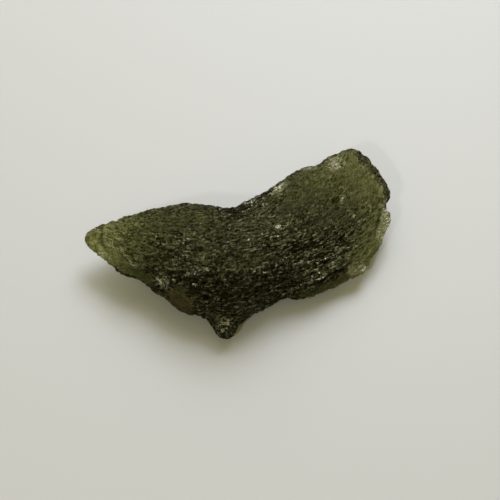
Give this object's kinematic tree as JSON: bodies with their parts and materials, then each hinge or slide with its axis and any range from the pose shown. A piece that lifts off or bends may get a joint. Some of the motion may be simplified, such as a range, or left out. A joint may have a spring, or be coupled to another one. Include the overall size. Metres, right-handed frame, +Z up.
{
  "type": "moldavite",
  "caption": "Raw olive-green moldavite: a long, bent splash of natural glass with a pointed lobe, a broad thin lobe, a steep pitted front and a small knob.",
  "frame": {"origin": "centre of the bounding box in plan, on the surface the stone rests on", "axes": "+X from the pointed lobe to the broad lobe, +Y from the steep front with the knob to the gently sloping back, +Z up"},
  "size_m": [0.0312, 0.0208, 0.0078],
  "materials": {
    "moldavite_glass": "etched, matte to satin, darker where it is thick"
  },
  "bodies": {
    "root": {"moldavite": "moldavite_glass"}
  },
  "joints": []
}
